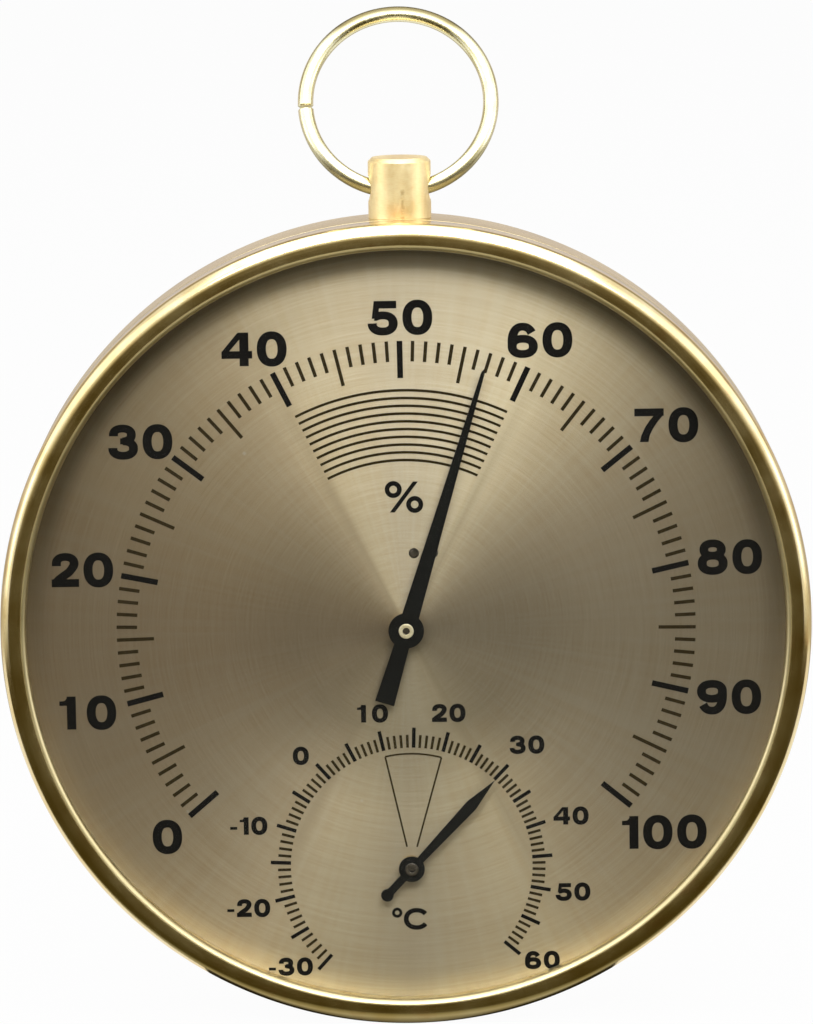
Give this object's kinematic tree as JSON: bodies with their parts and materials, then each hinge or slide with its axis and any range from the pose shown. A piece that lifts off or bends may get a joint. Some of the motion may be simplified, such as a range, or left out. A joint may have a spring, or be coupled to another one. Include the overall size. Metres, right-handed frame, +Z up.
{
  "type": "analog weather station",
  "caption": "Round brass-cased wall hygrometer with a small thermometer in the same dial, hung by a wire ring in a turned post.",
  "frame": {"origin": "centre of the flat back of the case", "axes": "+Y out of the back, towards the wall; the dial faces -Y; +Z up, through the hanger post; +X to the right as seen from the front"},
  "size_m": [0.102, 0.0202, 0.1278],
  "materials": {
    "case": "polished and lacquered",
    "bezel": "polished and lacquered",
    "post": "turned, lightly worn",
    "ring": "drawn wire, tarnished in places",
    "spacer": "satin",
    "window": "clear",
    "dial": "brushed in circles, champagne lacquer",
    "hand": "satin black",
    "bush": "turned",
    "rivet": "darkened",
    "steel": "zinc plated",
    "coil": "rolled strip",
    "seal": "matte",
    "card": "moulded"
  },
  "bodies": {
    "case": {"case_shell": "case", "bezel_ring": "bezel", "glass_lens": "window", "lens_gasket": "seal", "front_spacer_ring": "spacer", "rear_spacer_ring": "card", "hanger_post": "post", "post_washer": "steel", "dial_plate": "dial", "hygrometer_front_bush": "bush", "hygrometer_bridge": "steel", "bridge_rivet_left": "rivet", "bridge_rivet_right": "rivet", "hygrometer_rear_bush": "bush", "thermometer_bush": "bush", "thermometer_frame": "steel", "thermometer_coil": "coil", "thermometer_coil_rivet": "steel"},
    "ring": {"hanging_ring": "ring"},
    "adjuster": {"hygrometer_adjuster": "bush", "hygrometer_coil": "coil", "hygrometer_coil_rivet": "steel"},
    "hygrometer_hand": {"hygrometer_pointer": "hand", "pointer_eyelet": "bush", "hygrometer_arbor": "rivet", "hygrometer_collet": "bush"},
    "thermometer_hand": {"thermometer_pointer": "hand", "thermometer_eyelet": "rivet", "thermometer_arbor": "rivet", "thermometer_collet": "bush"}
  },
  "joints": [
    {"name": "ring_swing", "type": "hinge", "parent": "case", "child": "ring", "pos_m": [0, -0.01, 0.0546], "axis": [1, 0, 0], "range_deg": [-96, 133]},
    {"name": "adjuster_turn", "type": "hinge", "parent": "case", "child": "adjuster", "pos_m": [0.00001, 0, -0.00095], "axis": [0, 1, 0], "range_deg": [-12, 12]},
    {"name": "hygrometer_hand_turn", "type": "hinge", "parent": "adjuster", "child": "hygrometer_hand", "pos_m": [0.00001, 0, -0.00095], "axis": [0, 1, 0], "range_deg": [-147.7, 112.3], "stiffness_Nm_per_rad": 0.0005},
    {"name": "thermometer_hand_turn", "type": "hinge", "parent": "case", "child": "thermometer_hand", "pos_m": [0.00027, 0, -0.0317], "axis": [0, 1, 0], "range_deg": [-181.4, 86.7], "stiffness_Nm_per_rad": 0.0001}
  ]
}
